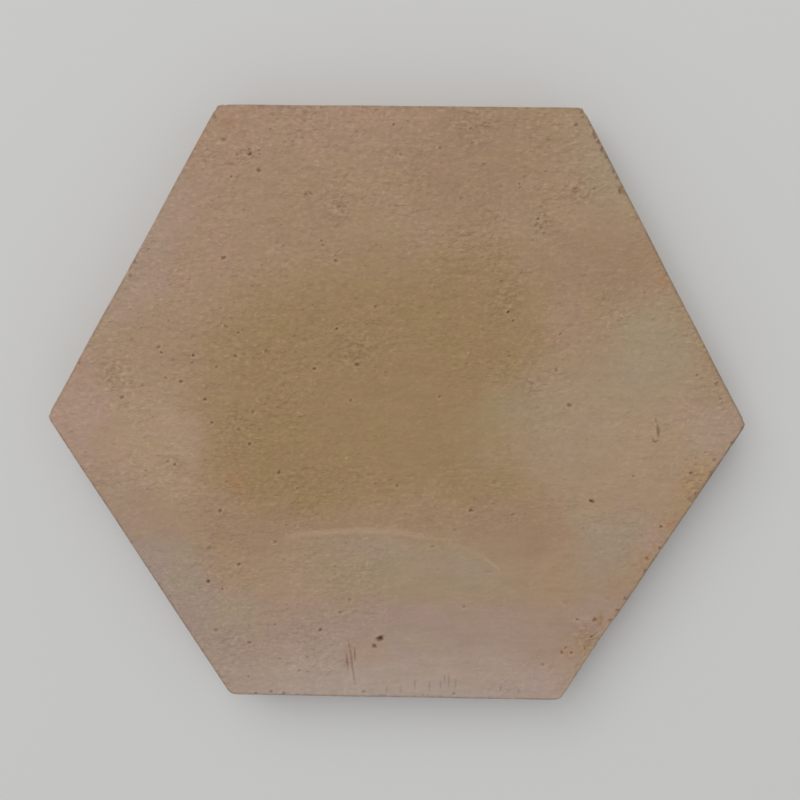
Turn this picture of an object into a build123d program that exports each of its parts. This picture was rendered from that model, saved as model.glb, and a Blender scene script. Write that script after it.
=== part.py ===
"""Hexagonal paving brick, moulded and fired as one piece of clay.

The brick lies on its bed face. The origin is the middle of the bed face, +Z points up
through the wear face, +X towards a corner and +Y square to a side. Millimetres.
"""

import os

from build123d import *

# Driving dimensions
across_flats = 300.0  # between opposite sides
thickness = 30.0  # from the bed face to the wear face
corner_radius = 6.0  # upright corners, softened as the mould frame is lifted off
wear_arris_radius = 1.5  # edge of the wear face, struck off and rubbed down
bed_arris_radius = 2.5  # edge of the bed face, slumped a little on the drying floor

# Worked out from them
sides = 6
apothem = across_flats / 2

# The clay body: a hexagon drawn by the distance to its sides, raised to its thickness
with BuildPart() as brick:
    with BuildSketch(Plane.XY):
        RegularPolygon(radius=apothem, side_count=sides, major_radius=False)
    extrude(amount=thickness)

    # The upright corners first, so that the arrises then run round in one tangent chain
    fillet(brick.edges().filter_by(Axis.Z), radius=corner_radius)
    fillet(brick.faces().sort_by(Axis.Z)[-1].edges(), radius=wear_arris_radius)
    fillet(brick.faces().sort_by(Axis.Z)[0].edges(), radius=bed_arris_radius)

brick.part.label = "hexagonal_brick"

os.makedirs("parts", exist_ok=True)
export_step(brick.part, "parts/hexagonal_brick.step")

box = brick.part.bounding_box()
print(f"hexagonal_brick {box.size.X:.2f} x {box.size.Y:.2f} x {box.size.Z:.2f} mm,"
      f" {brick.part.volume / 1000:.1f} cm3")
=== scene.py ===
import math
import random

import bmesh
import bpy
from mathutils import Euler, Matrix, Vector, noise
from mathutils.kdtree import KDTree


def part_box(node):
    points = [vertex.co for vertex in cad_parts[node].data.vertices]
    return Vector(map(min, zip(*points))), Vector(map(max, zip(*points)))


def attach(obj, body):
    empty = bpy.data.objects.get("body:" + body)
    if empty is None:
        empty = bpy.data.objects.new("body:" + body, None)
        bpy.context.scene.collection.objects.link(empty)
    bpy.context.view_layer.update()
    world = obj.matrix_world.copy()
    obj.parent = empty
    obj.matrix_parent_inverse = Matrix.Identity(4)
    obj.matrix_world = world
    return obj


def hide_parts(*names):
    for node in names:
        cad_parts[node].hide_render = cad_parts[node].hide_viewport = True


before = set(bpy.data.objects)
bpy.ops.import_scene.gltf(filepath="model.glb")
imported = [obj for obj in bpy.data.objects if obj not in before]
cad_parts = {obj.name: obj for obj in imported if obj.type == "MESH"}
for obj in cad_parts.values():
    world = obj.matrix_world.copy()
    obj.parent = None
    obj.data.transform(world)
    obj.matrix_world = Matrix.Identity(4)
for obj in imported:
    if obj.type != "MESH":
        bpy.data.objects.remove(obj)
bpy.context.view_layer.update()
bedCorner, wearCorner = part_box("hexagonal_brick")
wearHeight = wearCorner.z  # the struck face, which shows
apothem = wearCorner.y  # from the middle to a side
millimetre = 0.001
print("frame loaded, brick", [round(side / millimetre, 1) for side in wearCorner - bedCorner], "mm")

# The photograph's view of the wear face, focal length in pixels of its 800 x 800 frame
view = {
    "framePixels": 800,
    "focalPixels": 1040.0,
    "sensorMm": 36.0,
    "place": (0.0049, 0.1117, 0.5339),
    "turnDegrees": (-11.41, 0.50, 0.54),
}
viewPlace = Vector(view["place"])
viewTurn = Euler([math.radians(angle) for angle in view["turnDegrees"]])


def makeCamera():
    camera = bpy.data.objects.new("photoView", bpy.data.cameras.new("photoView"))
    camera.data.sensor_width = view["sensorMm"]
    camera.data.lens = view["sensorMm"] * view["focalPixels"] / view["framePixels"]
    camera.location = viewPlace
    camera.rotation_euler = viewTurn
    bpy.context.scene.collection.objects.link(camera)
    bpy.context.scene.camera = camera
    print("camera set, lens", round(camera.data.lens, 1), "mm")


def onFace(px, py):
    # where the sight line through a pixel of the photograph meets the wear face
    middle = view["framePixels"] / 2
    sight = Vector((px - middle, middle - py, -view["focalPixels"]))
    sight.rotate(viewTurn)
    return viewPlace + sight * ((wearHeight - viewPlace.z) / sight.z)


def smoothStep(low, high, value):
    share = min(max((value - low) / (high - low), 0.0), 1.0)
    return share * share * (3 - 2 * share)


# The clay body: sizes in millimetres, counts of mesh rows
body = {
    "cornerRadius": 6.0,
    "wearArris": 1.5,
    "bedArris": 2.5,
    "faceRows": 108,  # from the middle of the wear face to its rim
    "bedRows": 39,
    "bedMargin": 3.0,  # plain strip between the bed's arris and its sanded part
    "arrisRows": 4,
    "wallRows": 10,
    "cornerHold": 40,  # how fast the turn of a corner dies out inwards, as a power
    "mergeGap": 0.01,
    "seedSpan": 50,  # range of the seeds for uneven outlines
    "runStep": 1.2,  # between the spots that follow a run of points
    # how far each corner of the handmade outline stands off a true hexagon
    "cornerDrift": {
        "right": (0.0, -0.8),
        "topRight": (-0.9, 0.45),
        "topLeft": (1.05, 0.25),
        "left": (-0.9, -0.65),
        "bottomLeft": (0.3, 0.7),
        "bottomRight": (0.45, 0.0),
    },
}
sixth = math.radians(60)
twelfth = math.radians(30)


def heading(place):
    return math.atan2(place.y, place.x) % (2 * math.pi)


def hexSpread(place):
    # 0 in the middle of the hexagon, 1 on its sides
    reach = max(
        place.x * math.cos(twelfth + side * sixth) + place.y * math.sin(twelfth + side * sixth)
        for side in range(6)
    )
    return reach / apothem


def rimOf(edges):
    return [edge for edge in edges if len(edge.link_faces) == 1]


def turnCorners(verts, reach, radius):
    # draw the outermost rows in, so that each upright corner turns on its radius
    pivot = (reach - radius) / math.cos(twelfth)
    swing = math.atan2(radius * math.sin(twelfth), pivot + radius * math.cos(twelfth))
    for vert in verts:
        off = (heading(vert.co) + twelfth) % sixth - twelfth
        if abs(off) < swing:
            sharp = reach / math.cos(twelfth - abs(off))
            turned = pivot * math.cos(off) + math.sqrt(radius ** 2 - (pivot * math.sin(off)) ** 2)
            hold = min(hexSpread(vert.co) * apothem / reach, 1.0) ** body["cornerHold"]
            vert.co *= 1 - (1 - turned / sharp) * hold


def hexFace(inset, rows, height):
    # a fan of six triangles, cut into even rows
    bm = bmesh.new()
    bmesh.ops.create_circle(bm, cap_ends=True, cap_tris=True, segments=6, radius=1.0)
    bmesh.ops.rotate(bm, verts=bm.verts, matrix=Euler((0, 0, twelfth)).to_matrix())
    nudge = Vector((0, 0.01, 0))  # keeps the right corner first
    corners = [vert for vert in bm.verts if vert.co.length > 0.5]
    corners.sort(key=lambda vert: heading(vert.co + nudge))
    reach = (apothem - inset) / math.cos(twelfth)
    for vert, drift in zip(corners, body["cornerDrift"].values()):
        vert.co = vert.co.normalized() * reach + Vector((*drift, 0)) * millimetre
    bmesh.ops.subdivide_edges(bm, edges=bm.edges, cuts=rows - 1, use_grid_fill=True)
    turnCorners(bm.verts, apothem - inset, body["cornerRadius"] * millimetre - inset)
    bmesh.ops.translate(bm, verts=bm.verts, vec=(0, 0, height))
    return bm


# Marks on the wear face: places are pixels of the photograph, read one by one, sizes are millimetres
marks = {
    "seed": 11,
    # how one pit differs from the next, its darkening, partly dirt and partly painted shade, and its lip of
    # clay pushed up, paled as a painted highlight mostly on its lower side
    "pitShape": {
        "reachSpread": (0.75, 1.2), "depthSpread": (0.8, 1.2), "dirtAndShadeSpread": (0.65, 1.1),
        "stretch": (0.75, 1.5), "slant": (-0.5, 0.5), "lobes": 1.3, "uneven": 0.6, "furthest": 2.5,
        "bowl": 1.2, "dirtAndShadeBowl": 1.6, "lipSpread": 0.8, "lipWidth": 0.8, "lipHeight": 0.3,
    },
    "deepPits": {
        "reach": 0.98, "depth": 0.85, "dirtAndShade": 0.9, "lip": 1.6,
        "places": [
            (250, 154), (259, 170.5), (393.5, 124.6), (336, 261), (513.3, 321), (337, 329),
            (314.6, 369), (357.6, 365), (122, 397.7), (181, 381.8), (161.3, 352.8), (193.3, 355.5),
            (205.2, 399.7), (212, 422.7), (249.6, 444), (175, 464.6), (279.2, 473), (220.7, 511),
            (471, 510.8), (569.6, 405.8), (320.4, 630.4), (249.7, 643),
            (223.4, 258.3), (691, 473.5), (222.5, 589.3), (239, 564.7), (275, 541.6),
            (594.6, 620), (577.7, 619.5), (562, 653), (571.5, 653), (585, 648.5), (661, 527),
        ],
    },
    "widePits": {
        "reach": 1.15, "depth": 0.9, "dirtAndShade": 1.7, "lip": 1.4,
        "places": [(508.5, 312), (591.4, 501.5), (374.8, 646.6), (208.3, 581.8)],
    },
    "bigPit": {
        "reach": 1.65, "depth": 1.3, "dirtAndShade": 2.0, "lip": 1.0,
        "places": [(380.6, 639)],
    },
    "plainPits": {
        "reach": 0.9, "depth": 0.6, "dirtAndShade": 0.55, "lip": 1.3,
        "places": [
            (224, 140), (231, 176.6), (306, 194.5), (311, 194), (339, 207), (343, 212), (321.7, 241),
            (323, 245.5), (401, 154.7), (440.7, 148), (443, 235.8), (470.8, 128.7), (519.6, 184),
            (520, 188), (538.4, 219.5), (536.8, 225.6), (541, 227.7), (594.5, 189), (576.6, 125),
            (240, 260.8), (225.6, 327), (238.4, 332.8), (158.6, 347.6), (217, 367.3), (235.3, 356),
            (267, 351.6), (166, 378.2), (375.8, 306.7), (345.8, 358), (238.7, 429.8), (253.2, 412),
            (167.5, 462), (350.8, 400.7), (297.2, 488.6), (397.4, 486), (513.4, 514.6),
            (464.4, 606.8), (340.7, 612.6), (350, 600), (299.7, 670.8), (248.7, 677), (216, 630),
            (274.8, 624.8), (560.4, 334.3), (556.8, 370.5), (633.3, 476.7),
            (566, 648), (592, 637), (543, 665),
            (432.8, 546.8), (439.8, 397), (706, 452.8), (720.4, 399), (697.3, 375.4),
        ],
    },
    "faintPits": {
        "reach": 1.0, "depth": 0.32, "dirtAndShade": 0.24, "lip": 0.9,
        "places": [
            (204, 161), (280, 162), (304, 121), (306, 115), (275, 123), (344, 115), (311, 187), (345.6, 207),
            (244.6, 211), (235, 213), (211, 207), (213, 201), (258, 229), (258.4, 234), (205, 233),
            (278, 243.5), (207, 175), (389, 116), (385, 115), (422, 147), (380, 170.5), (470, 122),
            (479.5, 114), (464, 119), (482.6, 148), (469, 181), (390, 206), (395, 206), (374, 195.5),
            (392, 233), (400, 232), (381, 247), (463, 253), (482, 242), (532, 139), (501.6, 187), (504, 216),
            (537, 233), (190, 276), (189, 281), (181, 293.5), (158, 278), (139, 281), (153, 316), (139, 313),
            (190, 348), (215, 344), (287, 278), (284.5, 263), (308.5, 290), (322, 332), (305, 340),
            (368, 356), (380, 373), (386, 375.6), (431, 283), (483, 330), (493, 271), (547, 307), (432, 335),
            (520, 354), (561, 342), (582, 319), (613.5, 305), (618.6, 321), (130, 371.6), (124, 377.5),
            (200, 396), (268.5, 399), (261, 400), (195, 454), (135, 476), (205, 485), (141, 469), (275, 475),
            (227, 453), (358, 402), (376, 437), (324, 404), (408, 405), (369, 475), (290, 454), (483, 434),
            (510, 451), (448, 487), (494, 483), (456, 365.5), (547, 422), (555, 431), (565, 430), (598, 461),
            (552, 456), (669, 467), (90, 405), (114, 445), (120, 447), (231, 540), (192, 567), (200.5, 556),
            (203, 561), (244, 550), (221, 524), (327, 493), (317, 539), (284, 561), (328, 583), (312, 621),
            (302.6, 627), (272.5, 616), (296, 526), (309, 559), (363, 568), (469, 504), (476.6, 518),
            (447.6, 590), (438, 570), (608, 599), (613, 607), (624, 550), (602, 550), (622, 563), (282, 662),
            (328, 668), (525, 663), (544, 659), (566, 603), (690, 481), (683, 487),
        ],
    },
    # short level tears that the strike board pulled open
    "tears": {
        "half": 2.0, "halfSpread": (0.6, 1.3), "lift": (-0.25, 0.25),
        "width": 0.75, "depth": 0.28, "dirtAndShade": 0.25,
        "places": [
            (352, 169), (485, 124), (489, 127), (576, 189), (581, 185), (542, 208), (362, 346.5), (354, 345),
            (504, 364), (534, 391), (532, 384), (513, 265), (582, 285), (132, 384), (126, 404), (488, 572),
            (546, 385), (233, 165),
        ],
    },
    # a grain of grit that stands proud, paler than the clay
    "grains": {
        "reach": 0.85, "height": 0.3, "pale": 2.4,
        "places": [
            (437, 148), (688.5, 421.5), (222.6, 326.3), (244.6, 154.2), (346.7, 458.4), (468.4, 352.8),
            (655.8, 424.6),
        ],
    },
    # scored lines, each a run of points, and the share of width and depth that they keep at their ends
    "runEnds": (0.6, 0.5),
    "scratches": {
        "width": 0.65, "depth": 0.5, "dirtAndShade": 0.55,
        "runs": [
            [(348.6, 640.4), (350.8, 651.6), (352.3, 664.9), (355.4, 685.3)],
            [(354.6, 648), (355.4, 661)],
            [(346.6, 653), (347.4, 662), (348.3, 671)],
        ],
    },
    "hookTick": {
        "width": 0.6, "depth": 0.45, "dirtAndShade": 0.45,
        "runs": [[(655.6, 418.2), (656.2, 421), (656.9, 423.4)]],
    },
    "hookFoot": {
        "width": 0.8, "depth": 0.4, "dirtAndShade": 0.7,
        "runs": [[(652.7, 437.8), (653.5, 440.9), (655.8, 442.1), (658.2, 440.6)]],
    },
    "hookStem": {
        "width": 1.25, "depth": 0.4, "dirtAndShade": 0.8,
        "runs": [[(657.4, 425.4), (658.3, 431), (658.7, 437.2)]],
    },
    "footDrags": {
        "width": 0.65, "depth": 0.35, "dirtAndShade": 0.25,
        "runs": [
            [(387, 687), (387, 694)], [(401, 686), (401, 694)], [(415, 680), (415.5, 690)],
            [(430, 682), (430, 692)], [(441, 681), (441, 691)], [(445, 675), (445, 685)],
            [(449, 674), (449, 688)], [(456, 680), (456, 690)], [(501, 686), (501, 692)],
            [(519, 689), (519, 694)],
        ],
    },
    # patches that the strike board tore into crumbs: place and reach in pixels, share. Their valleys are
    # darkened as painted shade and their ridges paled as a painted highlight
    "crumbs": {
        "size": (3.2, 2.0), "height": 0.42, "dirtAndShade": 0.48, "pale": 0.7, "fade": (0.3, 1.4),
        "octaves": 2, "layer": 4.4, "level": 0.35, "top": 1.2, "meshShare": 0.9,
        "patches": [
            (246, 155, 14, 0.8), (340, 210, 14, 0.8), (280, 262, 18, 0.4), (330, 250, 22, 0.3),
            (412, 155, 34, 0.4), (476, 126, 24, 0.6), (304, 118, 22, 0.5), (580, 189, 18, 0.8),
            (540, 223, 10, 0.8), (508, 298, 22, 0.8), (116, 374, 20, 1.0), (360, 349, 22, 0.7),
            (188, 355, 12, 0.6), (240, 430, 24, 0.5), (174, 465, 16, 0.6), (290, 480, 18, 0.5),
            (470, 511, 9, 0.5), (515, 514, 10, 0.5), (532, 388, 16, 0.6), (218, 580, 14, 0.4),
            (588, 636, 17, 0.9), (312, 626, 24, 0.3), (240, 640, 18, 0.4), (694, 482, 13, 0.9),
            (225, 345, 24, 0.4),
        ],
    },
    # patches left smooth: place, half width and half height in pixels, share of the roughness left
    "smoothPatches": [
        (520, 595, 140, 85, 0.3), (430, 655, 90, 45, 0.5), (400, 420, 95, 60, 0.6),
        (640, 372, 70, 50, 0.5), (640, 475, 60, 45, 0.6), (150, 525, 55, 40, 0.55),
        (212, 283, 26, 18, 0.6), (600, 235, 40, 40, 0.6), (108, 435, 40, 25, 0.6),
        (395, 272, 40, 24, 0.7), (262, 203, 22, 10, 0.6), (530, 450, 110, 75, 0.6),
        (190, 335, 45, 35, 0.75), (350, 590, 130, 85, 0.75), (560, 345, 60, 45, 0.8),
        (395, 690, 200, 30, 0.6),
    ],
    # the roughness of the skin elsewhere, which comes and goes over so many millimetres
    "skin": {
        "length": 24, "layer": 7.7, "sway": 0.45, "torn": 0.3, "least": 0.15, "smoothFade": (0.5, 1.2),
    },
    # faint pale lines: share, half width, run. The first three are the rim of something round that stood
    # on the wet clay
    "paleLines": {
        "height": 0.05, "fade": (0.2, 1.0), "ends": 0.15,
        "runs": [
            (1.1, 2.4, [(276, 539), (300, 535), (333, 531.7), (367, 530.7), (400, 533), (440, 539.5)]),
            (0.45, 2.0, [(428, 536.8), (446, 541.4), (464, 548), (490, 562)]),
            (1.3, 1.2, [(482, 556.5), (491, 563), (501, 571)]),
            (0.2, 1.4, [(505, 574), (530, 571), (555, 565), (578, 556)]),
            (0.7, 1.4, [(655.2, 428), (655.2, 433), (655, 439)]),
            (1.4, 1.0, [(579, 618.4), (592, 618.4)]),
        ],
    },
    # waves of the struck face: height, length along x and y, layer of the noise
    "waves": {
        "broad": (0.22, 85, 70, 3.1),
        "soft": (0.1, 24, 16, 9.7),
        "lumps": (0.08, 5.5, 4.5, 1.3),
    },
    "spare": (0.8, 0.2),  # how far past a mark the mesh is made finer, the first and the second time
}


def placeTree(verts):
    tree = KDTree(len(verts))
    for index, vert in enumerate(verts):
        tree.insert(vert.co, index)
    tree.balance()
    return tree


def refine(bm, spots, spare):
    # halve the edges around each spot, over its reach and so many millimetres more
    verts = list(bm.verts)
    tree = placeTree(verts)
    near = set()
    for place, reach in spots:
        for _, index, _ in tree.find_range(place, reach + spare * millimetre):
            near.update(verts[index].link_edges)
    edges = [edge for edge in bm.edges if edge in near]
    bmesh.ops.subdivide_edges(bm, edges=edges, cuts=1, use_grid_fill=True)
    bmesh.ops.triangulate(bm, faces=[face for face in bm.faces if len(face.verts) > 3])


def nearRun(place, run):
    # distance to a run of points, and how far along it, 0 to 1
    best = (1.0, 0.0)
    total = sum((b - a).length for a, b in zip(run, run[1:]))
    passed = 0.0
    for a, b in zip(run, run[1:]):
        step = b - a
        along = min(max((place - a).dot(step) / step.length_squared, 0.0), 1.0)
        gap = (place - a - step * along).length
        if gap < best[0]:
            best = (gap, (passed + along * step.length) / total)
        passed += step.length
    return best


def tornShare(place, torn):
    # how far the strike board tore the skin of the clay into crumbs
    fade = marks["crumbs"]["fade"]
    return max(
        share * (1 - smoothStep(*fade, (place - middle).length / reach))
        for middle, reach, share in torn
    )


def skinRoughness(place, tornHere, smooth):
    skin = marks["skin"]
    spot = Vector((place.x, place.y, 0)) / (skin["length"] * millimetre) + Vector((0, 0, skin["layer"]))
    rough = 1.0 + skin["sway"] * noise.noise(spot) + skin["torn"] * tornHere
    for middle, wide, high, keep in smooth:
        off = place - middle
        away = math.hypot(off.x / wide, off.y / high)
        rough *= keep + (1 - keep) * smoothStep(*skin["smoothFade"], away)
    return max(rough, skin["least"])


def crumbRidge(place):
    # sharp creases between rounded crumbs, from -1 to about 1
    crumbs = marks["crumbs"]
    wide, high = crumbs["size"]
    spot = Vector((place.x / wide, place.y / high, 0)) / millimetre + Vector((0, 0, crumbs["layer"]))
    creased = noise.turbulence(spot, crumbs["octaves"], True)
    return min((creased - crumbs["level"]) / crumbs["level"], crumbs["top"])


def wearRelief(place, rough):
    # only the lumps follow the roughness of the skin
    x = place.x / millimetre
    y = place.y / millimetre
    relief = 0.0
    for name, (height, wide, high, layer) in marks["waves"].items():
        share = rough if name == "lumps" else 1.0
        relief += height * share * noise.noise(Vector((x / wide, y / high, layer)))
    return relief * millimetre


def raggedShape(rng, reach):
    # an uneven outline, as a function: how far off the middle a place lies, 1 on the outline
    shape = marks["pitShape"]
    stretch = rng.uniform(*shape["stretch"])
    slant = rng.uniform(*shape["slant"])
    seed = rng.uniform(0, body["seedSpan"])

    def gapOf(off):
        turn = math.atan2(off.y, off.x)
        lobe = Vector((math.cos(turn) * shape["lobes"], math.sin(turn) * shape["lobes"], seed))
        bulge = 1 + shape["uneven"] * noise.noise(lobe)
        return math.hypot((off.x + slant * off.y) / stretch, off.y) / (reach * bulge)

    return gapOf


def pressPit(tree, place, kind, rng, sink, dirtAndShade, paleAndHighlight):
    shape = marks["pitShape"]
    reach = kind["reach"] * rng.uniform(*shape["reachSpread"]) * millimetre
    depth = kind["depth"] * rng.uniform(*shape["depthSpread"]) * millimetre
    pitDirtAndShade = kind["dirtAndShade"] * rng.uniform(*shape["dirtAndShadeSpread"])
    lipTurn = rng.gauss(-math.pi / 2, shape["lipSpread"])
    gapOf = raggedShape(rng, reach)
    for spot, index, _ in tree.find_range(place, reach * shape["furthest"]):
        off = spot - place
        gap = gapOf(off)
        if gap < 1:
            bowl = (1 - gap * gap) ** shape["bowl"]
            sink[index] = max(sink[index], depth * bowl)
            # the pit darkened towards its middle, partly dirt and partly painted shade
            dirtAndShade[index] = max(dirtAndShade[index], pitDirtAndShade * bowl ** shape["dirtAndShadeBowl"])
        elif gap < 1 + shape["lipWidth"]:
            # clay pushed up round the pit, more on one side than the other, and paled there as a painted
            # highlight on its lit side
            lip = math.sin(math.pi * (gap - 1) / shape["lipWidth"])
            lip *= 0.5 + 0.5 * math.cos(math.atan2(off.y, off.x) - lipTurn)
            sink[index] -= shape["lipHeight"] * depth * lip
            paleAndHighlight[index] = max(paleAndHighlight[index], kind["lip"] * lip)


def pressRun(tree, run, kind, sink, dirtAndShade):
    width = kind["width"] * millimetre
    depth = kind["depth"] * millimetre
    endWidth, endDepth = marks["runEnds"]
    middle = sum(run, Vector()) / len(run)
    around = max((point - middle).length for point in run) + 2 * width
    for spot, index, _ in tree.find_range(middle, around):
        gap, along = nearRun(spot, run)
        swell = math.sin(math.pi * along)
        gap /= width * (endWidth + (1 - endWidth) * swell)
        if gap < 1:
            trough = (1 - gap * gap) * (endDepth + (1 - endDepth) * swell)
            sink[index] = max(sink[index], depth * trough)
            dirtAndShade[index] = max(dirtAndShade[index], kind["dirtAndShade"] * trough)


def spotsAlong(run, reach):
    # spots close enough together along a run to refine the mesh under it
    spots = []
    for a, b in zip(run, run[1:]):
        steps = max(2, int((b - a).length / (body["runStep"] * millimetre)))
        for step in range(steps + 1):
            spots.append((a.lerp(b, step / steps), reach * millimetre))
    return spots


def raiseGrain(tree, place, sink, paleAndHighlight):
    grain = marks["grains"]
    reach = grain["reach"] * millimetre
    for _, index, gap in tree.find_range(place, reach):
        share = 1 - (gap / reach) ** 2
        sink[index] -= grain["height"] * millimetre * share
        paleAndHighlight[index] = max(paleAndHighlight[index], grain["pale"] * share)


def raiseLine(tree, share, wide, run, sink, paleAndHighlight):
    line = marks["paleLines"]
    for middle, reach in spotsAlong(run, wide):
        for spot, index, _ in tree.find_range(middle, reach):
            gap, along = nearRun(spot, run)
            ridge = share * (1 - smoothStep(*line["fade"], gap / reach))
            ridge *= smoothStep(0, line["ends"], along) * smoothStep(0, line["ends"], 1 - along)
            paleAndHighlight[index] = max(paleAndHighlight[index], ridge)
            sink[index] = min(sink[index], -line["height"] * millimetre * ridge)


def levelTear(middle, tears, rng):
    reach = tears["half"] * rng.uniform(*tears["halfSpread"]) * millimetre
    lift = rng.uniform(*tears["lift"]) * reach
    along = Vector((reach, lift, 0))
    return [middle - along, middle, middle + along]


def tornPatches():
    patches = []
    for px, py, reach, share in marks["crumbs"]["patches"]:
        middle = onFace(px, py)
        patches.append((middle, onFace(px + reach, py).x - middle.x, share))
    return patches


def smoothPatches():
    patches = []
    for px, py, wide, high, keep in marks["smoothPatches"]:
        middle = onFace(px, py)
        halfWide = onFace(px + wide, py).x - middle.x
        halfHigh = onFace(px, py - high).y - middle.y
        patches.append((middle, halfWide, halfHigh, keep))
    return patches


def pitsOf(*names):
    return [(onFace(*place), marks[name]) for name in names for place in marks[name]["places"]]


def layOutMarks(rng):
    # every mark as a place or a run on the wear face, with the terms of its kind
    tears = marks["tears"]
    runs = [(levelTear(onFace(*place), tears, rng), tears) for place in tears["places"]]
    for name in ("scratches", "hookTick", "hookFoot", "hookStem", "footDrags"):
        runs += [([onFace(*point) for point in run], marks[name]) for run in marks[name]["runs"]]
    lines = marks["paleLines"]["runs"]
    return {
        "pits": pitsOf("deepPits", "widePits", "bigPit", "plainPits"),
        "faintPits": pitsOf("faintPits"),
        "runs": runs,
        "grains": [onFace(*place) for place in marks["grains"]["places"]],
        "paleLines": [(share, wide, [onFace(*point) for point in run]) for share, wide, run in lines],
        "torn": tornPatches(),
        "smooth": smoothPatches(),
    }


def refineMarks(bm, laid):
    # edges halved once under the soft marks and twice under the sharp ones
    close = [(place, kind["reach"] * millimetre) for place, kind in laid["pits"]]
    close += [(place, marks["grains"]["reach"] * millimetre) for place in laid["grains"]]
    for run, kind in laid["runs"]:
        close += spotsAlong(run, kind["width"])
    coarse = [(place, kind["reach"] * millimetre) for place, kind in laid["faintPits"]]
    coarse += [(middle, marks["crumbs"]["meshShare"] * reach) for middle, reach, _ in laid["torn"]]
    for _, wide, run in laid["paleLines"]:
        coarse += spotsAlong(run, wide)
    firstSpare, secondSpare = marks["spare"]
    refine(bm, coarse + close, firstSpare)
    refine(bm, close, secondSpare)


def markWearFace(bm, shadeAndDirt, roughSkin, paleAndLitSkin):
    rng = random.Random(marks["seed"])
    laid = layOutMarks(rng)
    refineMarks(bm, laid)
    verts = list(bm.verts)
    tree = placeTree(verts)
    sink, dirtAndShade, paleAndHighlight = [[0.0] * len(verts) for _ in range(3)]
    for place, kind in laid["pits"] + laid["faintPits"]:
        pressPit(tree, place, kind, rng, sink, dirtAndShade, paleAndHighlight)
    for run, kind in laid["runs"]:
        pressRun(tree, run, kind, sink, dirtAndShade)
    for place in laid["grains"]:
        raiseGrain(tree, place, sink, paleAndHighlight)
    for share, wide, run in laid["paleLines"]:
        raiseLine(tree, share, wide, run, sink, paleAndHighlight)

    crumbs = marks["crumbs"]
    for index, vert in enumerate(verts):
        tornHere = tornShare(vert.co, laid["torn"])
        ridge = tornHere * crumbRidge(vert.co)
        vert[roughSkin] = skinRoughness(vert.co, tornHere, laid["smooth"])
        # crumb valleys darkened as painted shade and crumb ridges paled as a painted highlight
        vert[shadeAndDirt] = max(dirtAndShade[index], -ridge * crumbs["dirtAndShade"])
        vert[paleAndLitSkin] = max(paleAndHighlight[index], ridge * crumbs["pale"])
        raised = crumbs["height"] * ridge * millimetre - sink[index]
        vert.co.z += wearRelief(vert.co, vert[roughSkin]) + raised
    print("wear face marked,", len(bm.faces), "faces")


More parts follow.
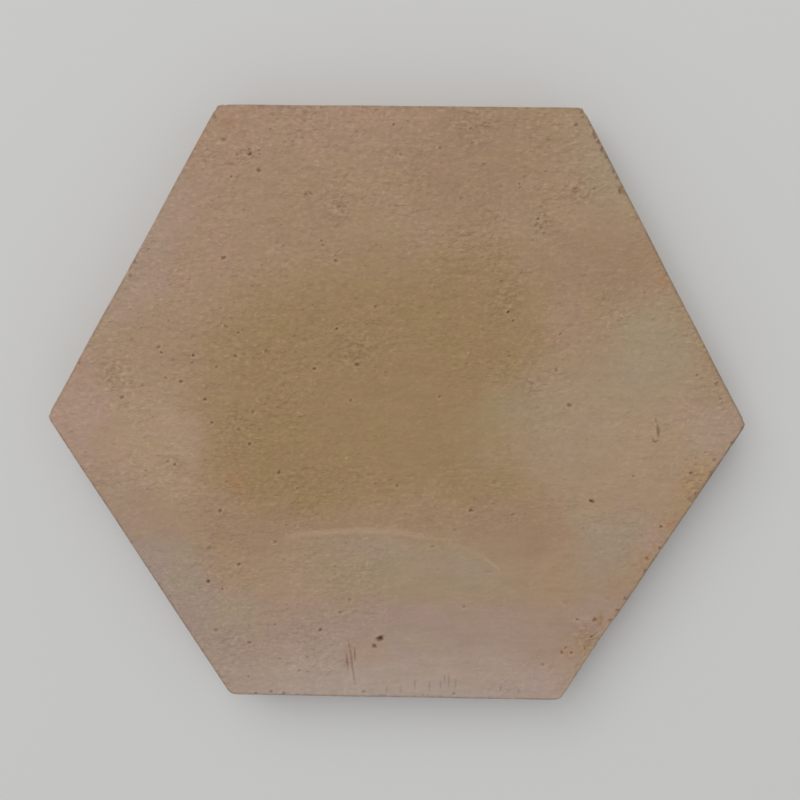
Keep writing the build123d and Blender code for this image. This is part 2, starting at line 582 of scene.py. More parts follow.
# The sides, the bed and the worn arris, with the painted light and shade on it: sizes in millimetres
sides = {
    # how far the sides wander off straight, over what length, how fast that dies out inwards
    "wave": {"height": 0.25, "length": 38, "layer": 5.5, "hold": 30},
    "drag": {"height": 0.16, "length": 26, "high": 2.2},  # marks of the mould frame, along the sides
    # print of the drying floor, and the roughness of the sand on it
    "bed": {"height": 0.5, "length": 15, "layer": 2.2, "octaves": 3, "level": 0.4, "rough": 1.5},
    # the uneven outline of a loss, and how far past it the mesh is made finer
    "loss": {
        "seed": 23, "spare": (0.8, 0.3), "fineReach": 3, "uneven": 0.8, "lobes": 1.9, "bareSpread": 1.5,
    },
    "scatterSeed": 37,
    "tintPatch": {"length": 3, "level": 0.7, "sway": 0.6, "fade": (0.4, 1.0)},
    "wallBand": (0.3, 0.7),  # shares of the height where the side stands plain
    "belowWeight": 4,  # how fast the painted rim shade fades below the arris
    # small losses that no pixel places: on the rim or the bed, the heights they lie between, how far
    # they are knocked down rather than in, and a depth as a share of their reach
    "scattered": {
        "wallPits": {
            "count": 90, "onRim": True, "heights": (4.0, 26.5), "down": 0.0, "reach": (0.5, 1.4),
            "depth": 0.5, "dirtAndShade": 0.6, "bare": 0.0,
        },
        "wearNicks": {
            "count": 60, "onRim": True, "heights": (28.4, 30.0), "down": 1.0, "reach": (0.5, 1.2),
            "depth": 0.4, "dirtAndShade": 0.35, "bare": 0.1,
        },
        "bedNicks": {
            "count": 36, "onRim": True, "heights": (0.2, 2.4), "down": -1.0, "reach": (0.8, 2.6),
            "depth": 0.45, "dirtAndShade": 0.3, "bare": 0.5,
        },
        "bedPits": {
            "count": 70, "onRim": False, "heights": (-0.1, 0.6), "down": -1.0, "reach": (0.8, 2.2),
            "depth": 0.4, "dirtAndShade": 0.4, "bare": 0.1,
        },
    },
    # chips darkened, partly dirt and partly painted shade
    "chipDirtAndShade": 0.6,
    # the stretch of the lower right arris that is rubbed round, and painted pale as light from the bright
    # floor, and the stretch above it, painted dark as a shaded arris
    "rubbedAndFloorLitArris": {
        "run": [(612, 621), (588, 656), (561, 695)], "reach": 3.8, "tint": 1.2, "depth": 0.22, "dirtAndShade": 0.03,
    },
    "paintedShadeArris": {"run": [(746.5, 426), (719.5, 465), (691.5, 500)], "reach": 1.6, "tint": 0.6},
    # pixels of the photograph along the rim: place, reach and depth in millimetres, bare clay shown
    "chips": [
        (581.7, 112, 1.2, 0.4, 0.2), (583, 117, 1.1, 0.4, 0.2), (594, 134, 1.2, 0.48, 0.3),
        (596.5, 137, 1.2, 0.48, 0.3), (599.6, 142, 1.4, 0.64, 0.8), (602.7, 149.6, 1.4, 0.64, 0.8),
        (606.7, 157, 1.3, 0.48, 0.2), (614, 171, 1.3, 0.56, 0.3), (617.4, 178, 1.2, 0.48, 0.3),
        (621, 190.4, 2.2, 0.88, 1.0), (625.6, 193, 1.4, 0.64, 0.6), (716.8, 384, 1.4, 0.6, 0.5),
        (714.8, 460, 1.4, 0.56, 0.3), (711, 472.7, 1.3, 0.56, 0.3), (732.7, 442.6, 1.3, 0.48, 0.3),
        (696.4, 494, 1.4, 0.56, 0.3), (689.8, 499, 1.3, 0.56, 0.3), (660.5, 548, 1.4, 0.56, 0.4),
        (647.8, 558.6, 1.5, 0.6, 0.4), (645.7, 571, 1.3, 0.56, 0.3), (625.8, 599, 1.4, 0.64, 0.4),
        (618, 610.6, 1.4, 0.64, 0.4), (610.5, 621, 1.4, 0.64, 0.5), (592, 637, 1.6, 0.56, 0.2),
        (134.8, 262, 1.3, 0.48, 0.3), (130, 276, 1.3, 0.48, 0.3), (78.8, 363, 1.3, 0.48, 0.3),
        (214.5, 117, 1.3, 0.56, 0.3), (256, 694, 1.4, 0.64, 0.3), (271, 692, 1.2, 0.56, 0.3),
        (284, 693.5, 1.3, 0.64, 0.3), (363.6, 692, 1.2, 0.48, 0.3), (454, 694, 1.2, 0.48, 0.3),
    ],
}


def aimRim(rim, outward, rimPlace):
    # each vertex of the rim learns which way is out of the brick, and where it began
    for vert in {vert for edge in rim for vert in edge.verts}:
        before, after = [edge.other_vert(vert) for edge in vert.link_edges if len(edge.link_faces) == 1]
        along = after.co - before.co
        across = Vector((along.y, -along.x, 0)).normalized()
        vert[outward] = across if across.dot(vert.co) > 0 else -across
        vert[rimPlace] = vert.co


def sideProfile(wearArris, bedArris):
    # steps out from the wear face's rim and their heights, over the arris, the side and the bed arris
    rows = body["arrisRows"]
    quarter = math.radians(90) / rows
    profile = []
    for row in range(1, rows + 1):
        turn = row * quarter
        profile.append((wearArris * math.sin(turn), wearHeight - wearArris * (1 - math.cos(turn))))
    for row in range(1, body["wallRows"]):
        share = row / body["wallRows"]
        profile.append((wearArris, (wearHeight - wearArris) * (1 - share) + bedArris * share))
    for row in range(rows + 1):
        turn = row * quarter
        profile.append((wearArris - bedArris * (1 - math.cos(turn)), bedArris * (1 - math.sin(turn))))
    return profile


def raiseSides(bm, outward, rimPlace):
    rim = rimOf(bm.edges)
    aimRim(rim, outward, rimPlace)
    wearArris = body["wearArris"] * millimetre
    drag = sides["drag"]
    for out, height in sideProfile(wearArris, body["bedArris"] * millimetre):
        made = bmesh.ops.extrude_edge_only(bm, edges=rim)["geom"]
        rim = rimOf(item for item in made if isinstance(item, bmesh.types.BMEdge))
        for vert in [item for item in made if isinstance(item, bmesh.types.BMVert)]:
            start = vert[rimPlace]
            low = height / wearHeight
            vert.co = start + vert[outward] * out
            vert.co.z = height + (start.z - wearHeight) * low
            x, y, z = vert.co / millimetre
            streak = Vector((x / drag["length"], y / drag["length"], z / drag["high"]))
            push = drag["height"] * noise.noise(streak)
            vert.co += vert[outward] * push * min(1.0, out / wearArris) * millimetre
    print("sides raised,", len(bm.faces), "faces")


def wanderSides(bm):
    # the outline isn't ruled: all rows near the rim move out and in together
    wave = sides["wave"]
    for vert in bm.verts:
        x, y, _ = vert.co / millimetre
        hold = min(hexSpread(vert.co), 1.0) ** wave["hold"]
        spot = Vector((x / wave["length"], y / wave["length"], wave["layer"]))
        push = noise.noise(spot) * wave["height"] * millimetre
        flat = Vector((vert.co.x, vert.co.y, 0))
        vert.co += flat.normalized() * push * hold


def closeBed(bm, roughSkin):
    # the bed is a coarser face with the print of the drying floor, joined to the last row
    inset = (body["bedArris"] + body["bedMargin"]) * millimetre
    sand = sides["bed"]
    bed = hexFace(inset, body["bedRows"], 0.0)
    for vert in bed.verts:
        x, y, _ = vert.co / millimetre
        spot = Vector((x / sand["length"], y / sand["length"], sand["layer"]))
        grain = sand["level"] + (1 - sand["level"]) * noise.fractal(spot, 0.8, 2.0, sand["octaves"])
        vert.co.z = sand["height"] * millimetre * min(max(grain, 0.0), 1.0)
    bedMesh = bpy.data.meshes.new("bedPrint")
    bed.to_mesh(bedMesh)
    bed.free()
    bm.from_mesh(bedMesh)
    bpy.data.meshes.remove(bedMesh)
    for vert in bm.verts:
        if vert.co.z < inset and vert[roughSkin] == 0:
            vert[roughSkin] = sand["rough"]
    bmesh.ops.bridge_loops(bm, edges=rimOf(bm.edges))


def lossesOf(bm, outward):
    # every loss as its place, reach, depth, direction, darkening, partly dirt and partly painted shade, and
    # bare clay
    rng = random.Random(sides["scatterSeed"])
    up = Vector((0, 0, 1))
    losses = []
    for px, py, size, deep, bare in sides["chips"]:
        place = onFace(px, py)
        out = Vector((place.x, place.y, 0)).normalized()
        push = -(out + up).normalized()
        losses.append((place, size * millimetre, deep * millimetre, push, sides["chipDirtAndShade"], bare))
    worn = sides["rubbedAndFloorLitArris"]
    for place, reach in spotsAlong([onFace(*point) for point in worn["run"]], worn["reach"]):
        push = -(Vector((place.x, place.y, 0)).normalized() + up).normalized()
        reach *= rng.uniform(0.6, 1.2)
        losses.append((place, reach, worn["depth"] * millimetre, push, worn["dirtAndShade"], 0.0))
    for kind in sides["scattered"].values():
        low, high = kind["heights"]
        band = [vert for vert in bm.verts if (vert[outward].length > 0.5) == kind["onRim"]]
        band = [vert for vert in band if low < vert.co.z / millimetre < high]
        for vert in rng.sample(band, kind["count"]):
            reach = rng.uniform(*kind["reach"]) * millimetre
            push = -(vert[outward] + up * kind["down"]).normalized()
            losses.append((vert.co.copy(), reach, reach * kind["depth"], push, kind["dirtAndShade"], kind["bare"]))
    return losses


def knockOut(bm, losses, shadeAndDirt, bareClay):
    loss = sides["loss"]
    uneven = loss["uneven"]
    firstSpare, secondSpare = loss["spare"]
    spots = [(place, reach) for place, reach, *_ in losses]
    refine(bm, spots, firstSpare)
    refine(bm, [spot for spot in spots if spot[1] < loss["fineReach"] * millimetre], secondSpare)
    verts = list(bm.verts)
    tree = placeTree(verts)
    rng = random.Random(loss["seed"])
    for place, reach, depth, push, dirtAndShade, bare in losses:
        seed = Vector((0, 0, rng.uniform(0, body["seedSpan"])))
        for spot, index, gap in tree.find_range(place, reach * uneven * 2):
            lobe = noise.noise((spot - place) / reach * loss["lobes"] + seed)
            ragged = reach * (uneven + uneven * lobe)
            if gap < ragged:
                share = 1 - (gap / ragged) ** 2
                vert = verts[index]
                vert.co += push * depth * share
                vert[shadeAndDirt] = max(vert[shadeAndDirt], dirtAndShade * share)
                vert[bareClay] = max(vert[bareClay], bare * min(1, share * loss["bareSpread"]))


def tintArris(bm, stretch, layer):
    patch = sides["tintPatch"]
    run = [onFace(*point) for point in stretch["run"]]
    verts = list(bm.verts)
    tree = placeTree(verts)
    for place, reach in spotsAlong(run, stretch["reach"]):
        for spot, index, gap in tree.find_range(place, reach):
            patchy = patch["level"] + patch["sway"] * noise.noise(spot / (patch["length"] * millimetre))
            share = stretch["tint"] * patchy * (1 - smoothStep(*patch["fade"], gap / reach))
            verts[index][layer] = max(verts[index][layer], share)


def measureRim(bm, outward, rimGap):
    # how far each vertex stands inside the outline, in millimetres
    low, high = sides["wallBand"]
    walls = [vert for vert in bm.verts if vert[outward].length > 0.5]
    walls = [vert for vert in walls if low < vert.co.z / wearHeight < high]
    outline = KDTree(len(walls))
    for index, vert in enumerate(walls):
        outline.insert((vert.co.x, vert.co.y, 0), index)
    outline.balance()
    for vert in bm.verts:
        _, index, _ = outline.find((vert.co.x, vert.co.y, 0))
        inside = (walls[index].co - vert.co).dot(walls[index][outward]) / millimetre
        below = (wearHeight - vert.co.z) / millimetre - body["wearArris"]
        vert[rimGap] = max(inside, 0.0) + sides["belowWeight"] * max(below, 0.0)


skinLayers = ("shadeAndDirt", "bareClay", "rimGap", "roughSkin", "paleAndLitSkin")


def shapeBrick():
    bm = hexFace(body["wearArris"] * millimetre, body["faceRows"], wearHeight)
    scalars = bm.verts.layers.float
    shadeAndDirt, bareClay, rimGap, roughSkin, paleAndLitSkin = [scalars.new(name) for name in skinLayers]
    vectors = bm.verts.layers.float_vector
    outward = vectors.new("outward")
    rimPlace = vectors.new("rimPlace")
    markWearFace(bm, shadeAndDirt, roughSkin, paleAndLitSkin)
    raiseSides(bm, outward, rimPlace)
    closeBed(bm, roughSkin)
    wanderSides(bm)
    knockOut(bm, lossesOf(bm, outward), shadeAndDirt, bareClay)
    # the rubbed stretch painted paler as light from the floor, the stretch above painted darker as shade
    tintArris(bm, sides["rubbedAndFloorLitArris"], paleAndLitSkin)
    tintArris(bm, sides["paintedShadeArris"], shadeAndDirt)
    measureRim(bm, outward, rimGap)
    for name in ("outward", "rimPlace"):
        vectors.remove(vectors[name])
    return bm


def makeBrick():
    bm = shapeBrick()
    bmesh.ops.triangulate(bm, faces=[face for face in bm.faces if len(face.verts) > 3])
    bmesh.ops.remove_doubles(bm, verts=bm.verts, dist=body["mergeGap"] * millimetre)
    bmesh.ops.recalc_face_normals(bm, faces=bm.faces)
    for face in bm.faces:
        face.smooth = True
    mesh = bpy.data.meshes.new("hexagonalBrick")
    bm.to_mesh(mesh)
    print("brick meshed,", len(bm.faces), "triangles")
    bm.free()
    brick = bpy.data.objects.new("hexagonalBrick", mesh)
    bpy.context.scene.collection.objects.link(brick)
    mesh.materials.append(makeFiredClay())
    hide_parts("hexagonal_brick")
    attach(brick, "root")


# The fired clay: colours as seen, 0 to 255, heights of the fine relief in millimetres
clay = {
    "side": (158, 131, 105),
    "sideSmoke": (142, 115, 92),
    "sideFlash": 0.4,
    "sand": (161, 138, 114),
    "dirtAndShade": (84, 54, 32),
    # dark of the hollows, marks, crumbs and chips: partly dirt, partly painted shade
    "bare": (136, 92, 68),
    # painted shade along the rim, where the arris turns away from the light
    "rim": (112, 98, 82),
    # pale grit and print lines, with painted highlights on pit lips and crumb ridges and painted floor light
    # on the rubbed arris
    "pale": (174, 150, 124),
    "dirtAndShadeShare": 0.6,
    "bareShare": 0.5,
    "rimShadeShare": 0.4,
    "paleShare": 0.35,
    "rimShadeFade": (1.9, 0.7),  # millimetres inside the outline
    "wearBand": (2.2, 0.8),  # millimetres below the wear face where its colour begins, and where it is full
    "bedBand": (2.0, 0.6),  # the same for the sand, above the bed
    "specular": 0.25,
    "lumpHeight": 0.8,
    "gritHeight": 0.1,
    "dragHeight": 0.3,
    "streakHeight": 0.6,
    "pinkMottle": (1.013, 0.996, 1.03, 1),
    "oliveMottle": (0.987, 1.004, 0.97, 1),
    # small pits in some cells of a lattice: cell size, chance of one, reach and edge as shares of a cell
    "specks": {
        "size": (5.0, 4.0, 5.0), "chance": (0.4, 1.0), "reach": 0.24, "edge": 0.12,
        # dark: how far the small speck pits are darkened, as painted shade
        "depth": 0.3, "dark": 0.06,
    },
    # noise in the clay: size in millimetres along x, y and z, detail, roughness
    "patterns": {
        "smoke": ((34, 34, 12), 4.0, 0.6),
        "lifted": ((2.4, 2.4, 22), 2.0, 0.5),
        "mottle": ((15, 12, 15), 2.0, 0.6),
        "lumps": ((3.0, 2.3, 2.6), 1.5, 0.5),
        "patchy": ((15, 9, 12), 2.0, 0.6),
        "grit": ((1.7, 1.5, 1.5), 1.0, 0.5),
        "flecks": ((2.2, 1.8, 2.0), 0.0, 0.5),
        "grain": ((1.9, 1.3, 1.6), 0.0, 0.5),
        "sand": ((3.4, 2.4, 3.0), 0.0, 0.5),
        "drag": ((16, 4.2, 6), 1.0, 0.5),
        "cloud": ((9, 7, 9), 2.0, 0.5),
        "broken": ((3.2, 3.2, 3.2), 1.0, 0.5),
        "sheen": ((6, 3, 4), 3.0, 0.5),
    },
    # the stretch of a noise that counts, and what it gives at its two ends
    "levels": {
        "smoke": (0.35, 0.65, 0.0, 1.0),
        "lifted": (0.3, 0.7, 0.955, 1.045),
        "mottle": (0.34, 0.66, 0.0, 1.0),
        "patchy": (0.36, 0.68, 0.5, 1.5),
        "flecks": (0.62, 0.78, 0.0, 0.13, "SMOOTHSTEP"),
        "grain": (0.0, 1.0, -0.09, 0.09),
        "sand": (0.0, 1.0, -0.0825, 0.0825),
        "drag": (0.3, 0.7, 0.982, 1.018),
        "cloud": (0.3, 0.7, 0.97, 1.03),
        "broken": (0.4, 0.6, 0.25, 1.0),
        "sheen": (0.3, 0.7, 0.82, 0.95),
    },
    "tints": {
        "body": (155, 129, 103),
        "rose": (158, 130, 109),
        "brown": (153, 126, 100),
        "umber": (150, 123, 98),
        "olive": (146, 120, 86),
        "blush": (163, 136, 120),
        "pale": (162, 136, 112),
        "sage": (154, 137, 113),
        "mauve": (154, 132, 119),
        "lavender": (162, 144, 132),
        "lilac": (163, 140, 131),
        "slate": (151, 134, 116),
        "dusk": (151, 133, 121),
        "rust": (158, 117, 86),
        "iron": (138, 104, 70),
        "gold": (160, 130, 92),
        "drab": (151, 132, 108),
        "moss": (146, 126, 90),
    },
    # flashes of the kiln: tint, middle in pixels of the photograph, half width and half height in
    # millimetres, turn in degrees, share, and where the fade begins and ends
    "flashes": {
        "topBand": ("rose", (320, 124), (95, 22), 0, 0.9, (0.3, 1.3)),
        "crown": ("umber", (305, 212), (34, 16), 0, 0.4, (0.3, 1.3)),
        "topPatch": ("umber", (475, 165), (38, 34), 0, 0.8, (0.3, 1.3)),
        "shoulder": ("rose", (205, 210), (26, 70), -28, 0.9, (0.3, 1.3)),
        "shoulderEdge": ("lavender", (136, 266), (17, 56), -28, 0.35, (0.3, 1.3)),
        "leftCorner": ("blush", (72, 412), (36, 32), 0, 0.9, (0.3, 1.3)),
        "leftPatch": ("pale", (150, 445), (28, 36), 0, 0.9, (0.3, 1.3)),
        "rightShoulder": ("sage", (607, 176), (14, 36), 28, 0.6, (0.2, 1.3)),
        "rightPatch": ("umber", (600, 268), (36, 24), 0, 0.8, (0.3, 1.3)),
        "heart": ("olive", (369, 392), (88, 68), 0, 0.92, (0.6, 1.22)),
        "heartRight": ("olive", (480, 325), (32, 40), 0, 0.75, (0.45, 1.3)),
        "heartTop": ("olive", (465, 250), (20, 18), 0, 0.2, (0.4, 1.3)),
        "heartFoot": ("olive", (490, 490), (30, 16), 0, 0.6, (0.4, 1.3)),
        "heartHeel": ("olive", (300, 488), (26, 13), 0, 0.5, (0.4, 1.3)),
        "heartLeft": ("olive", (276, 462), (38, 32), 0, 0.95, (0.6, 1.25)),
        "mossPatch": ("moss", (490, 418), (17, 13), 0, 0.5, (0.3, 1.3)),
        "sagePatch": ("sage", (585, 425), (58, 36), 0, 0.6, (0.3, 1.3)),
        "rightPale": ("pale", (640, 455), (46, 44), 0, 0.5, (0.3, 1.3)),
        "rightSage": ("sage", (652, 352), (28, 30), 0, 0.9, (0.2, 1.3)),
        "rightCorner": ("lavender", (724, 425), (28, 26), 0, 0.4, (0.2, 1.3)),
        "lowerRight": ("slate", (612, 546), (18, 27), -33, 0.8, (0.1, 1.4)),
        "lowerSage": ("sage", (588, 524), (16, 12), 0, 0.5, (0.2, 1.4)),
        "middleBand": ("umber", (390, 522), (44, 9), 0, 0.6, (0.4, 1.3)),
        "lowerBand": ("umber", (502, 532), (36, 18), 0, 0.9, (0.4, 1.25)),
        "leftBand": ("umber", (260, 525), (46, 16), 0, 0.9, (0.4, 1.25)),
        "lowerLeft": ("dusk", (172, 590), (30, 76), 33, 0.9, (0.2, 1.35)),
        "footBand": ("mauve", (400, 632), (130, 24), 0, 0.9, (0.2, 1.35)),
        "underLine": ("drab", (400, 574), (66, 17), 0, 0.7, (0.4, 1.3)),
        "foot": ("lavender", (395, 705), (130, 40), 0, 1.0, (0.3, 1.2)),
        "footCorner": ("lilac", (535, 684), (28, 16), 0, 0.6, (0.2, 1.3)),
        "leftFoot": ("brown", (140, 518), (22, 18), 0, 0.5, (0.2, 1.3)),
        "greyFoot": ("sage", (188, 570), (13, 12), 0, 0.5, (0.2, 1.3)),
        "greyHeel": ("sage", (236, 622), (14, 13), 0, 0.5, (0.2, 1.3)),
        "pinkFoot": ("blush", (292, 590), (15, 12), 0, 0.25, (0.2, 1.3)),
        "pinkPits": ("rose", (368, 648), (13, 9), 0, 0.5, (0.2, 1.3)),
        "greyPits": ("sage", (424, 648), (14, 10), 0, 0.4, (0.2, 1.3)),
        "pinkHeel": ("mauve", (596, 610), (18, 14), 0, 0.6, (0.2, 1.3)),
    },
    "flashStray": 30.0,
    "strayScale": 40.0,
    "strayDetail": 4.0,
    # the print of the round thing: a greyer skin inside its rim, which fades towards the middle
    "print": {
        "tint": "slate", "pixel": (355, 630), "half": (95, 54), "share": 0.4,
        "rim": (1.0, 0.95), "fade": (0.5, 0.85), "leftEnd": (-0.4, 0.0), "lowEnd": (0.2, 0.6),
    },
    # rusty spots of iron in the clay, in the same terms as the flashes
    "stains": {
        "rightStain": ("rust", (669, 525), (3.8, 1.9), 15, 0.5, (0.2, 1.4)),
        "rimStain": ("rust", (647, 558), (2.2, 3.6), -30, 0.45, (0.2, 1.4)),
        "footStain": ("iron", (600.5, 620), (1.9, 4.2), -5, 0.6, (0.2, 1.4)),
        "goldStain": ("gold", (693, 480), (7.0, 15.0), -33, 0.4, (0.2, 1.4)),
        "pinkStain": ("blush", (650, 540), (9.0, 10.0), 0, 0.4, (0.2, 1.4)),
        "heelStain": ("rust", (566, 652), (5.0, 4.0), 0, 0.35, (0.2, 1.4)),
        "heelGold": ("gold", (586, 645), (6.0, 6.0), 0, 0.4, (0.2, 1.4)),
        "leftStain": ("rust", (235, 482), (6.0, 6.0), 0, 0.4, (0.2, 1.4)),
        "shoulderStain": ("rust", (663, 282), (3.5, 3.0), 0, 0.45, (0.2, 1.4)),
        "cornerStain": ("rust", (228, 124), (5.0, 3.0), 0, 0.35, (0.2, 1.4)),
        "scratchStain": ("rust", (348, 658), (3.0, 7.0), 4, 0.2, (0.2, 1.4)),
    },
    "stainStray": 3.0,
}


def asSeen(colour):
    # from the 0 to 255 of a screen to the linear colour of a shader
    channels = [value / 255 for value in colour]
    linear = [c / 12.92 if c <= 0.04045 else ((c + 0.055) / 1.055) ** 2.4 for c in channels]
    return (*linear, 1.0)


def addNode(tree, kind, sockets, **settings):
    node = tree.nodes.new("ShaderNode" + kind)
    for name, value in settings.items():
        setattr(node, name, value)
    for socket, value in sockets.items():
        if isinstance(value, bpy.types.NodeSocket):
            tree.links.new(value, node.inputs[socket])
        else:
            node.inputs[socket].default_value = value
    return node


def mixColour(tree, share, first, second, blend="MIX"):
    # sockets 0, 6 and 7 of a Mix node set to colours are its factor, A and B, and output 2 its colour
    sockets = {0: share, 6: first, 7: second}
    return addNode(tree, "Mix", sockets, data_type="RGBA", blend_type=blend).outputs[2]


def remap(tree, value, low, high, toLow, toHigh, curve="LINEAR"):
    sockets = {"Value": value, "From Min": low, "From Max": high, "To Min": toLow, "To Max": toHigh}
    return addNode(tree, "MapRange", sockets, interpolation_type=curve).outputs["Result"]


def stretched(tree, coords, size):
    # coordinates in units of a pattern that is so many millimetres long each way
    sockets = {"Vector": coords, "Scale": [side * millimetre for side in size]}
    return addNode(tree, "Mapping", sockets, vector_type="TEXTURE").outputs["Vector"]


def noiseOf(tree, coords, name):
    size, detail, rough = clay["patterns"][name]
    sockets = {"Vector": stretched(tree, coords, size), "Scale": 1.0, "Detail": detail, "Roughness": rough}
    return addNode(tree, "TexNoise", sockets).outputs["Fac"]


def levelled(tree, coords, name):
    return remap(tree, noiseOf(tree, coords, name), *clay["levels"][name])


def scaleColour(tree, colour, factor):
    return addNode(tree, "VectorMath", {0: colour, "Scale": factor}, operation="SCALE").outputs["Vector"]


def maths(tree, operation, first, second):
    return addNode(tree, "Math", {0: first, 1: second}, operation=operation).outputs["Value"]


def layFlashes(tree, coords, colour, flashes, stray):
    # soft patches of kiln colour, their borders broken by a wander of so many millimetres
    sockets = {"Vector": coords, "Scale": clay["strayScale"], "Detail": clay["strayDetail"]}
    wander = addNode(tree, "TexNoise", sockets).outputs["Color"]
    middle = addNode(tree, "VectorMath", {0: wander, 1: (0.5, 0.5, 0.5)}, operation="SUBTRACT")
    sockets = {0: middle.outputs["Vector"], "Scale": stray * millimetre}
    push = addNode(tree, "VectorMath", sockets, operation="SCALE")
    strayed = addNode(tree, "VectorMath", {0: coords, 1: push.outputs["Vector"]}, operation="ADD")
    for tint, pixel, half, turn, share, fade in flashes.values():
        centre = onFace(*pixel)
        sockets = {
            "Vector": strayed.outputs["Vector"],
            "Location": (centre.x, centre.y, 0),
            "Rotation": (0, 0, math.radians(turn)),
            "Scale": (half[0] * millimetre, half[1] * millimetre, 1.0),
        }
        local = addNode(tree, "Mapping", sockets, vector_type="TEXTURE").outputs["Vector"]
        reach = addNode(tree, "VectorMath", {0: local}, operation="LENGTH").outputs["Value"]
        inside = remap(tree, reach, fade[1], fade[0], 0.0, share, "SMOOTHSTEP")
        colour = mixColour(tree, inside, colour, asSeen(clay["tints"][tint]))
    return colour


def layPrint(tree, coords, colour):
    ring = clay["print"]
    centre = onFace(*ring["pixel"])
    sockets = {
        "Vector": coords,
        "Location": (centre.x, centre.y, 0),
        "Scale": (ring["half"][0] * millimetre, ring["half"][1] * millimetre, 1.0),
    }
    local = addNode(tree, "Mapping", sockets, vector_type="TEXTURE").outputs["Vector"]
    reach = addNode(tree, "VectorMath", {0: local}, operation="LENGTH").outputs["Value"]
    rim = remap(tree, reach, *ring["rim"], 0.0, ring["share"], "SMOOTHSTEP")
    axes = addNode(tree, "SeparateXYZ", {"Vector": local}).outputs
    for place, end in ((reach, "fade"), (axes["X"], "leftEnd"), (axes["Y"], "lowEnd")):
        rim = maths(tree, "MULTIPLY", rim, remap(tree, place, *ring[end], 0.0, 1.0))
    return mixColour(tree, rim, colour, asSeen(clay["tints"][ring["tint"]]))


def speckle(tree, coords):
    # small pits of uneven size, one in some of the cells of a loose lattice
    specks = clay["specks"]
    sockets = {"Vector": stretched(tree, coords, specks["size"]), "Scale": 1.0}
    cell = addNode(tree, "TexVoronoi", sockets)
    chance = addNode(tree, "SeparateColor", {"Color": cell.outputs["Color"]}).outputs["Red"]
    reach = remap(tree, chance, *specks["chance"], 0.0, specks["reach"])
    inside = maths(tree, "SUBTRACT", reach, cell.outputs["Distance"])
    return remap(tree, inside, 0.0, specks["edge"], 0.0, 1.0, "SMOOTHSTEP")


def kilnColour(tree, coords, onWear, onBed, lifted):
    # the wear face, the smoked sides and the sanded bed, all with a pink and olive mottling
    flashed = layFlashes(tree, coords, asSeen(clay["tints"]["body"]), clay["flashes"], clay["flashStray"])
    flashed = layPrint(tree, coords, flashed)
    flashed = layFlashes(tree, coords, flashed, clay["stains"], clay["stainStray"])
    smoked = levelled(tree, coords, "smoke")
    side = mixColour(tree, smoked, asSeen(clay["side"]), asSeen(clay["sideSmoke"]))
    side = mixColour(tree, clay["sideFlash"], side, flashed)
    side = scaleColour(tree, side, remap(tree, lifted, *clay["levels"]["lifted"]))
    rest = mixColour(tree, onBed, side, asSeen(clay["sand"]))
    colour = mixColour(tree, onWear, rest, flashed)
    mottle = mixColour(tree, levelled(tree, coords, "mottle"), clay["pinkMottle"], clay["oliveMottle"])
    return mixColour(tree, 1.0, colour, mottle, "MULTIPLY")


def sandyShade(tree, coords, roughSkin, specks, drag):
    # lighter and darker grains, small speck pits darkened as painted shade, more where the skin is rough,
    # then drag marks and clouds
    darkened = maths(tree, "MULTIPLY", specks, clay["specks"]["dark"])
    sandy = maths(tree, "SUBTRACT", levelled(tree, coords, "flecks"), darkened)
    for name in ("grain", "sand"):
        sandy = maths(tree, "ADD", sandy, levelled(tree, coords, name))
    shade = maths(tree, "ADD", maths(tree, "MULTIPLY", sandy, roughSkin), 1.0)
    shade = maths(tree, "MULTIPLY", shade, remap(tree, drag, *clay["levels"]["drag"]))
    return maths(tree, "MULTIPLY", shade, levelled(tree, coords, "cloud"))


def shadedAndAgedColour(tree, coords, colour, skin):
    # painted shade along the rim, pale grit with painted highlights, darkening in the hollows that is partly
    # dirt and partly painted shade, redder clay in the chips
    rimShadeLine = remap(tree, skin["rimGap"], *clay["rimShadeFade"], 0.0, clay["rimShadeShare"], "SMOOTHSTEP")
    rimShadeLine = maths(tree, "MULTIPLY", rimShadeLine, remap(tree, skin["paleAndLitSkin"], 0.0, 1.0, 1.0, 0.0))
    rimShadeLine = maths(tree, "MULTIPLY", rimShadeLine, levelled(tree, coords, "broken"))
    colour = mixColour(tree, rimShadeLine, colour, asSeen(clay["rim"]))
    for layer, tint in (("paleAndLitSkin", "pale"), ("shadeAndDirt", "dirtAndShade"), ("bareClay", "bare")):
        share = maths(tree, "MULTIPLY", skin[layer], clay[tint + "Share"])
        colour = mixColour(tree, share, colour, asSeen(clay[tint]))
    return colour


def fineRelief(tree, coords, roughSkin, specks, drag, streaks):
    # small lumps in patches that stand rougher and smoother, grit, drag marks, pits and streaks
    patchy = maths(tree, "MULTIPLY", levelled(tree, coords, "patchy"), roughSkin)
    lumps = maths(tree, "SUBTRACT", noiseOf(tree, coords, "lumps"), 0.5)
    raised = maths(tree, "MULTIPLY", maths(tree, "MULTIPLY", lumps, patchy), clay["lumpHeight"])
    grit = noiseOf(tree, coords, "grit")
    for layer, height in ((grit, "gritHeight"), (drag, "dragHeight"), (streaks, "streakHeight")):
        raised = maths(tree, "ADD", raised, maths(tree, "MULTIPLY", layer, clay[height]))
    pitted = maths(tree, "MULTIPLY", roughSkin, clay["specks"]["depth"])
    raised = maths(tree, "SUBTRACT", raised, maths(tree, "MULTIPLY", specks, pitted))
    bump = addNode(tree, "Bump", {"Height": raised, "Strength": 1.0, "Distance": millimetre})
    return bump.outputs["Normal"]


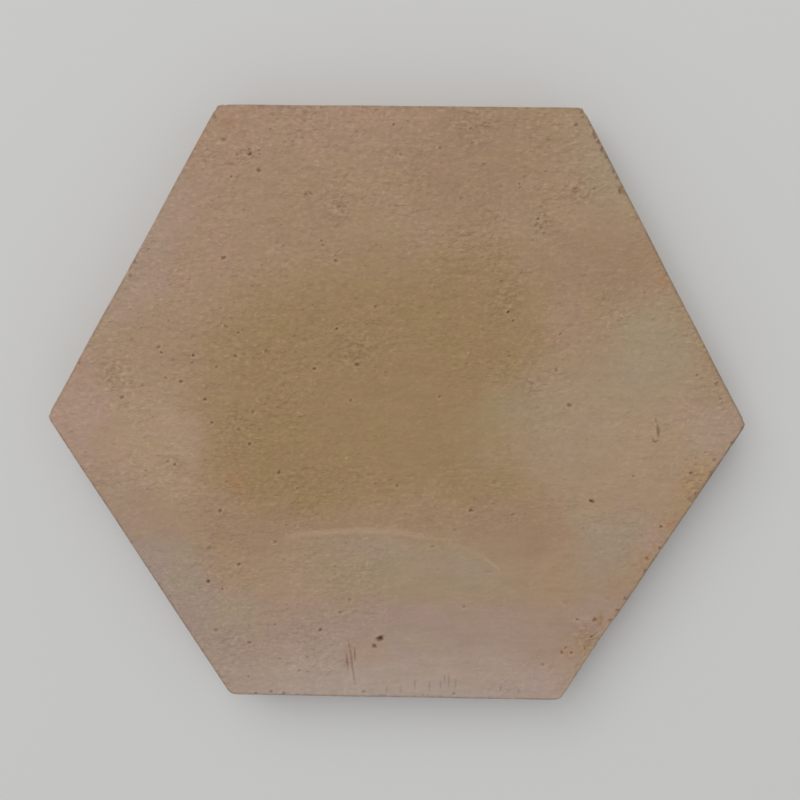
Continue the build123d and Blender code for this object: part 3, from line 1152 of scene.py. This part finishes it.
def makeFiredClay():
    material = bpy.data.materials.new("firedClay")
    material.use_nodes = True
    tree = material.node_tree
    shader = tree.nodes["Principled BSDF"]
    coords = addNode(tree, "TexCoord", {}).outputs["Object"]
    skin = {name: addNode(tree, "Attribute", {}, attribute_name=name).outputs["Fac"] for name in skinLayers}
    height = addNode(tree, "SeparateXYZ", {"Vector": coords}).outputs["Z"]
    wearBand = [wearHeight - below * millimetre for below in clay["wearBand"]]
    bedBand = [above * millimetre for above in clay["bedBand"]]
    onWear = remap(tree, height, *wearBand, 0.0, 1.0)
    onBed = remap(tree, height, *bedBand, 0.0, 1.0)
    onSide = maths(tree, "SUBTRACT", 1.0, maths(tree, "ADD", onWear, onBed))
    lifted = noiseOf(tree, coords, "lifted")  # streaks left as the mould frame was lifted off
    drag = noiseOf(tree, coords, "drag")
    specks = speckle(tree, coords)

    colour = kilnColour(tree, coords, onWear, onBed, lifted)
    colour = scaleColour(tree, colour, sandyShade(tree, coords, skin["roughSkin"], specks, drag))
    tree.links.new(shadedAndAgedColour(tree, coords, colour, skin), shader.inputs["Base Color"])
    tree.links.new(levelled(tree, coords, "sheen"), shader.inputs["Roughness"])
    shader.inputs["Specular IOR Level"].default_value = clay["specular"]
    streaks = maths(tree, "MULTIPLY", lifted, onSide)
    relief = fineRelief(tree, coords, skin["roughSkin"], specks, drag, streaks)
    tree.links.new(relief, shader.inputs["Normal"])
    print("fired clay mixed,", len(tree.nodes), "nodes")
    return material


# The stage: lamp places in metres, powers in watts
studio = {
    "floorHalf": 4.0,
    "floorDrop": 0.0003,
    "floor": (197, 197, 196),
    "floorRoughness": 0.9,
    "floorSpecular": 0.1,
    "keyPlace": (-1.6, 2.8, 3.9),
    "keySize": 4.4,
    "keyWatts": 167.0,
    "sky": 0.6,
    "backdrop": (200, 200, 200),
}


def makeFloor():
    bm = bmesh.new()
    bmesh.ops.create_grid(bm, x_segments=1, y_segments=1, size=studio["floorHalf"])
    bmesh.ops.translate(bm, verts=bm.verts, vec=(0, 0, -studio["floorDrop"]))
    mesh = bpy.data.meshes.new("studioFloor")
    bm.to_mesh(mesh)
    bm.free()
    floor = bpy.data.objects.new("studioFloor", mesh)
    bpy.context.scene.collection.objects.link(floor)
    material = bpy.data.materials.new("palePaper")
    material.use_nodes = True
    shader = material.node_tree.nodes["Principled BSDF"]
    shader.inputs["Base Color"].default_value = asSeen(studio["floor"])
    shader.inputs["Roughness"].default_value = studio["floorRoughness"]
    shader.inputs["Specular IOR Level"].default_value = studio["floorSpecular"]
    mesh.materials.append(material)


def lightStage():
    lamp = bpy.data.lights.new("softKey", "AREA")
    lamp.size = studio["keySize"]
    lamp.energy = studio["keyWatts"]
    key = bpy.data.objects.new("softKey", lamp)
    key.location = studio["keyPlace"]
    key.rotation_euler = (-key.location).to_track_quat("-Z", "Y").to_euler()
    bpy.context.scene.collection.objects.link(key)

    world = bpy.data.worlds.new("softSky")
    bpy.context.scene.world = world
    world.use_nodes = True
    tree = world.node_tree
    sky = tree.nodes["Background"]
    sky.inputs["Color"].default_value = (1, 1, 1, 1)
    sky.inputs["Strength"].default_value = studio["sky"]
    paper = addNode(tree, "Background", {"Color": asSeen(studio["backdrop"]), "Strength": 1.0})
    path = addNode(tree, "LightPath", {})
    seen = maths(tree, "MAXIMUM", path.outputs["Is Camera Ray"], path.outputs["Is Glossy Ray"])
    seen = maths(tree, "MAXIMUM", seen, path.outputs["Is Transmission Ray"])
    sockets = {0: seen, 1: sky.outputs["Background"], 2: paper.outputs["Background"]}
    mixed = addNode(tree, "MixShader", sockets)
    tree.links.new(mixed.outputs["Shader"], tree.nodes["World Output"].inputs["Surface"])
    bpy.context.scene.view_settings.view_transform = "Standard"
    print("stage lit")


makeCamera()
makeBrick()
makeFloor()
lightStage()
